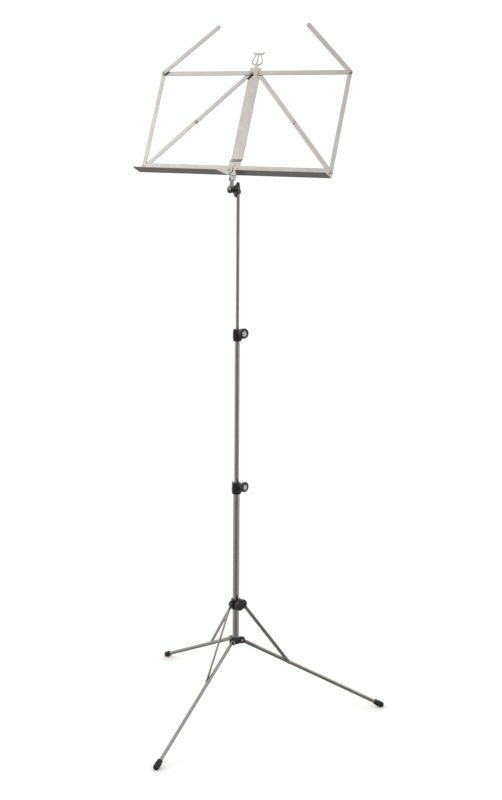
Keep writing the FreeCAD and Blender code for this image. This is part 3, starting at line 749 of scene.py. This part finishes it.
def make_leg(side, azimuth):
    """A leg with the head of its strut rivet formed on its flat side."""
    on_leg = placed_on_leg(azimuth)
    root = (STRUT_JOINT, LEG_HALF_THICKNESS - LEG_RIVET_SUNK, 0)
    head = moved(rivet(LEG_RIVET_LENGTH, 0, LEG_RIVET_HEAD, head=3.0), towards(root, (0, 1, 0)))
    leg = merge(loft(leg_sections()), head)
    finish = drawn_nickel("leg_" + side, on_leg.to_3x3() @ Vector((1, 0, 0)))
    piece("leg_" + side, moved(leg, on_leg), finish)


def make_foot(side, azimuth):
    """A foot cap, pressed flat where it stands on the floor."""
    place = placed_on_leg(azimuth) @ towards((LEG_LENGTH, 0, 0), (1, 0, 0))
    foot = moved(lathe(foot_profile(), 48), place)
    for vert in foot.verts:
        vert.co.z = max(vert.co.z, 0.0)
    piece("foot_" + side, foot, crease=70.0, weighted=False)


def make_strut(side, azimuth):
    """A strut beside its leg, drawn with x outwards and y up, with its own rivet head on the outer face."""
    upright = Matrix.Rotation(math.radians(azimuth), 4, "Z") @ Matrix.Rotation(math.pi / 2, 4, "X")
    top = Vector((LEG_PIVOT.x, STRUT_TOP, 0))
    foot = Vector((strut_joint.x, strut_joint.z, 0))
    strut = plate(bar_outline(top, foot, STRUT_HALF), STRUT_THICKNESS, edge=0.8)
    bmesh.ops.translate(strut, verts=strut.verts, vec=(0, 0, STRUT_SIDE - STRUT_THICKNESS / 2))
    outer = (foot.x, foot.y, STRUT_SIDE + STRUT_THICKNESS / 2)
    merge(strut, moved(formed_head(STRUT_RIVET_HEAD), Matrix.Translation(outer)))
    finish = drawn_nickel("strut_" + side, upright.to_3x3() @ (foot - top).normalized())
    piece("strut_" + side, moved(strut, upright), finish)


strut_joint = LEG_PIVOT + Vector((math.cos(LEG_SLOPE), 0, -math.sin(LEG_SLOPE))) * STRUT_JOINT
for side, azimuth in LEG_AZIMUTHS.items():
    make_leg(side, azimuth)
    make_foot(side, azimuth)
    make_strut(side, azimuth)


def pin_group(node, height, offset, span, head_height):
    """Three rivets through the hinge ears, one for each leg."""
    group = bmesh.new()
    for azimuth in LEG_AZIMUTHS.values():
        turn = Matrix.Rotation(math.radians(azimuth), 4, "Z")
        start = Vector((LEG_PIVOT.x, offset - span / 2, height))
        merge(group, moved(rivet(span, head_height, head_height), turn @ towards(start, (0, 1, 0))))
    return piece(node, group)


HUB_SLOT = 5.1
HUB_EAR = 2.4
COLLAR_SLOT = 2.5
COLLAR_EAR = 2.0
HUB_SPAN = HUB_SLOT + 2 * HUB_EAR
COLLAR_SPAN = COLLAR_SLOT + 2 * COLLAR_EAR
pin_group("hub_rivets", LEG_PIVOT.z, 0.0, HUB_SPAN, HUB_RIVET_HEAD)
pin_group("collar_rivets", STRUT_TOP, -STRUT_SIDE, COLLAR_SPAN, COLLAR_RIVET_HEAD)
moulded("base_hub")
moulded("sliding_collar")
moulded("collar_knob", voxel=0.35, passes=10)

# ------------------------------------------------------------------ column

def tube(node, outer, inner):
    """A tube with turned ends, as long as its CAD node."""
    low, high = extent(node)
    c = 0.35
    shoulder = c * 0.3
    profile = [
        (inner + c, low.z), (outer - c, low.z), (outer - shoulder, low.z + shoulder), (outer, low.z + c),
        (outer, high.z - c), (outer - shoulder, high.z - shoulder), (outer - c, high.z),
        (inner + c, high.z), (inner, high.z - c), (inner, low.z + c),
    ]
    return piece(node, lathe(profile, 64, closed=True), column_nickel)


tube("lower_tube", outer=7.5, inner=6.6)
tube("mid_tube", outer=5.5, inner=4.7)

# rod: round, then bent forward and flattened to the tilt bolt
ROD_RADIUS = 3.75
CRANK_RADIUS = 9.0
HEAD_THICKNESS = 3.0
HEAD_HALF = 7.5
HEAD_CENTRE_X = 0.3
HEAD_POWER = 5
HEAD_DROP = 1.0
NECK_SHARE = 0.8
CRANK_STEPS = 10
HEAD_STEPS = 12
WIDENING_STEPS = 4


def rod_sections():
    """Rings up the round rod, round its crank while it flattens, and out along its head."""
    low, _ = extent("top_rod")
    tilt = pivot("desk_tilt")
    bend_from = tilt.z - CRANK_RADIUS - HEAD_DROP
    sections = []
    for z, shrink in ((low.z, 1.0), (low.z + 1.0, 0.0), (bend_from, 0.0)):
        ring = superellipse(ROD_RADIUS - shrink, ROD_RADIUS - shrink, 2)
        sections.append([(x, y, z) for x, y in ring])
    for n in range(1, CRANK_STEPS + 1):
        a = math.pi / 2 * n / CRANK_STEPS
        t = ease(n / CRANK_STEPS)
        forward = -CRANK_RADIUS * (1 - math.cos(a))
        centre = Vector((HEAD_CENTRE_X * t, forward, bend_from + CRANK_RADIUS * math.sin(a)))
        across = Vector((0, math.cos(a), math.sin(a)))
        half_x = ROD_RADIUS + (HEAD_THICKNESS / 2 - ROD_RADIUS) * t
        half_y = ROD_RADIUS + (HEAD_HALF * NECK_SHARE - ROD_RADIUS) * t
        ring = superellipse(half_x, half_y, 2 + (HEAD_POWER - 2) * t)
        sections.append([tuple(centre + Vector((x, 0, 0)) + across * y) for x, y in ring])
    head_start = -CRANK_RADIUS - 1.0
    head_end = tilt.y - HEAD_HALF
    for n in range(HEAD_STEPS + 1):
        y = head_start + (head_end - head_start) * n / HEAD_STEPS
        widening = min(n / WIDENING_STEPS, 1.0)
        z = tilt.z - HEAD_DROP + widening
        inside = max(HEAD_HALF ** 2 - min(y - tilt.y, 0.0) ** 2, 0.25)
        half = min(math.sqrt(inside), HEAD_HALF * (NECK_SHARE + (1 - NECK_SHARE) * widening))
        ring = superellipse(HEAD_THICKNESS / 2, half, HEAD_POWER)
        sections.append([(HEAD_CENTRE_X + x, y, z + h) for x, h in ring])
    return sections


piece("top_rod", loft(rod_sections()), column_nickel)

# clamps: moulded bodies, fluted knobs and their silver inlays
KNOB_START = 15.0
KNOB_RADIUS = 11.6
FLUTE_ROOT = 8.9
FLUTE_DEPTH = 1.25
FLUTES = 10


def knob_profile():
    """Half section of a clamp knob: its neck, its rim and the pocket in its face."""
    neck = [(0.0, 0.0), (6.2, 0.0), (6.5, 0.3), (7.4, 1.8), (8.8, 3.2), (10.2, 3.9), (11.1, 4.8)]
    rim = [(KNOB_RADIUS, 6.2), (KNOB_RADIUS, 10.6), (11.3, 11.6), (10.6, 12.2), (9.8, 12.4), (9.0, 12.2)]
    pocket = [(7.9, 11.5), (6.9, 11.2), (6.6, 10.8), (6.6, 10.4), (0.0, 10.3)]
    return neck + rim + pocket


def inlay_profile():
    """Half section of the silver disc: a raised rim and a small ring round its middle."""
    rim = [(0.0, 10.4), (6.5, 10.4), (6.5, 11.2), (6.3, 11.5), (5.9, 11.6), (5.5, 11.45), (5.2, 11.2)]
    ring = [(2.7, 11.15), (2.2, 11.35), (1.7, 11.4), (1.2, 11.2), (0.7, 11.0), (0.0, 10.95)]
    return rim + ring


def fluted(angle, radius):
    depth = FLUTE_DEPTH * max(0.0, (radius - FLUTE_ROOT) / (KNOB_RADIUS - FLUTE_ROOT))
    return radius - depth * (0.5 + 0.5 * math.cos(FLUTES * angle)) ** 2.2


def make_clamp_knob(name):
    """A round knob with soft flutes and a shallow dished face, and the silver disc set into it."""
    facing = axis(name + "_knob_turn")
    azimuth = Matrix.Rotation(math.atan2(facing.y, facing.x), 4, "Z")
    centre = Vector((KNOB_START, 0, pivot(name + "_knob_turn").z))
    place = azimuth @ towards(centre, (1, 0, 0))
    knob = moved(lathe(knob_profile(), 200, shape=fluted), place)
    piece(name + "_knob", knob, crease=60.0, weighted=False)
    face = name + "_knob_face"
    finish = spun_metal(face + "_turned", centre=azimuth @ centre, facing=facing, **SILVER)
    piece(face, moved(lathe(inlay_profile(), 96), place), finish, crease=60.0, weighted=False)


for name in ("lower", "upper"):
    make_clamp_knob(name)
    moulded(name + "_clamp", voxel=0.35)


# ------------------------------------------------------------------ tilt joint

moulded("tilt_knob", voxel=0.3, passes=10)
pressed("tilt_bracket", 0.35)
BOLT_HEAD_HEIGHT = 3.2
BRACKET_SHEET = 2.2
BRACKET_RIVET_HEIGHTS = (38.0, 50.0)
bolt_low, bolt_high = extent("tilt_bolt")
bolt_length = bolt_high.x - bolt_low.x - BOLT_HEAD_HEIGHT
bolt_start = Vector((bolt_low.x + BOLT_HEAD_HEIGHT, pivot("desk_tilt").y, pivot("desk_tilt").z))
bolt = rivet(bolt_length, BOLT_HEAD_HEIGHT, 0, shank=3.0, head=8.0)
piece("tilt_bolt", moved(bolt, towards(bolt_start, (1, 0, 0))))
bracket_pins = bmesh.new()
for height in BRACKET_RIVET_HEIGHTS:
    pin = rivet(BRACKET_SHEET + SHEET, 1.0, 0, shank=1.6, head=2.8)
    merge(bracket_pins, moved(pin, DESK @ Matrix.Translation((0, height, LAYER[3] - BRACKET_SHEET))))
piece("bracket_rivets", bracket_pins)

# the CAD nodes that stay get their slot's finish
for node, cad in frame["nodes"].items():
    if cad.hide_render:
        continue
    cad.data.materials.clear()
    cad.data.materials.append(materials[slots[node]])

# ------------------------------------------------------------------ stage, light, camera

# from here sizes are in metres
FLOOR_REACH = 40.0
floor_corners = [(FLOOR_REACH * x, FLOOR_REACH * y, 0) for x, y in ((-1, -1), (1, -1), (1, 1), (-1, 1))]
floor_mesh = bpy.data.meshes.new("floor")
floor_mesh.from_pydata(floor_corners, [], [(0, 1, 2, 3)])
floor = bpy.data.objects.new("floor", floor_mesh)
scene.collection.objects.link(floor)
floor_material, floor_nodes, floor_links, floor_shader = start_material("pale_floor")
floor_shader.inputs["Base Color"].default_value = (0.86, 0.86, 0.86, 1.0)
floor_shader.inputs["Roughness"].default_value = 0.9
floor_shader.inputs["Specular IOR Level"].default_value = 0.1
floor_mesh.materials.append(floor_material)
floor.visible_glossy = False

world = bpy.data.worlds.new("studio")
scene.world = world
world.use_nodes = True
wn = world.node_tree.nodes
wl = world.node_tree.links
direction = wn.new("ShaderNodeTexCoord").outputs["Generated"]
TOWARDS_CAMERA = Vector((0.4772, -0.8788, 0.0))


def along_direction(vector, low, high, value_low, value_high):
    """Light that changes smoothly with how far a direction points along a vector."""
    dot = wn.new("ShaderNodeVectorMath")
    dot.operation = "DOT_PRODUCT"
    dot.inputs[1].default_value = vector
    wl.new(direction, dot.inputs[0])
    level = wn.new("ShaderNodeMapRange")
    level.interpolation_type = "SMOOTHSTEP"
    level.inputs["From Min"].default_value = low
    level.inputs["From Max"].default_value = high
    level.inputs["To Min"].default_value = value_low
    level.inputs["To Max"].default_value = value_high
    wl.new(dot.outputs["Value"], level.inputs["Value"])
    return level.outputs["Result"]


def blend(share, first, second):
    """Mixes two light levels, each a number or a node's output."""
    mix = wn.new("ShaderNodeMix")
    wl.new(share, mix.inputs["Factor"])
    for socket, value in (("A", first), ("B", second)):
        if isinstance(value, float):
            mix.inputs[socket].default_value = value
        else:
            wl.new(value, mix.inputs[socket])
    return mix.outputs["Result"]


# pale all round, dim towards the camera and below, a broad bright band above, a darker ceiling
WALL_LEVEL = 1.05
CAMERA_SIDE_LEVEL = 0.3
BELOW_LEVEL = 0.33
BAND_LEVEL = 1.75
CEILING_LEVEL = 0.8
side_level = along_direction(TOWARDS_CAMERA, 0.45, 1.0, WALL_LEVEL, CAMERA_SIDE_LEVEL)
level = blend(along_direction(UP, -0.48, -0.36, 0.0, 1.0), BELOW_LEVEL, side_level)
level = blend(along_direction(UP, 0.22, 0.42, 0.0, 1.0), level, BAND_LEVEL)
level = blend(along_direction(UP, 0.6, 0.88, 0.0, 1.0), level, CEILING_LEVEL)
# what the camera sees directly is a plain white backdrop
level = blend(wn.new("ShaderNodeLightPath").outputs["Is Camera Ray"], level, WALL_LEVEL)
wl.new(level, wn["Background"].inputs["Strength"])
wn["Background"].inputs["Color"].default_value = (1.0, 0.995, 0.985, 1.0)


def softbox(name, place, target, size, power):
    light = bpy.data.lights.new(name, "AREA")
    light.shape = "DISK"
    light.size = size
    light.energy = power
    lamp = bpy.data.objects.new(name, light)
    lamp.location = place
    lamp.rotation_mode = "QUATERNION"
    lamp.rotation_quaternion = (Vector(target) - Vector(place)).to_track_quat("-Z", "Y")
    scene.collection.objects.link(lamp)


softbox("key", (-2.6, -2.4, 3.4), (0, 0, 0.8), 1.6, 12.0)

# the camera: in front and to the right, about level with the desk, looking slightly down
PITCH = math.radians(12.36)
ROLL = math.radians(0.45)
camera_data = bpy.data.cameras.new("camera")
camera_data.sensor_width = 36.0
camera_data.lens = 58.68
camera_data.clip_end = 200.0
camera = bpy.data.objects.new("camera", camera_data)
camera.location = (1.3798, -2.4757, 1.359)
look = -TOWARDS_CAMERA * math.cos(PITCH) - UP * math.sin(PITCH)
camera.rotation_mode = "QUATERNION"
level_view = look.to_track_quat("-Z", "Y")
camera.rotation_quaternion = level_view @ Matrix.Rotation(ROLL, 3, "Z").to_quaternion()
scene.collection.objects.link(camera)
scene.camera = camera
scene.view_settings.view_transform = "Standard"
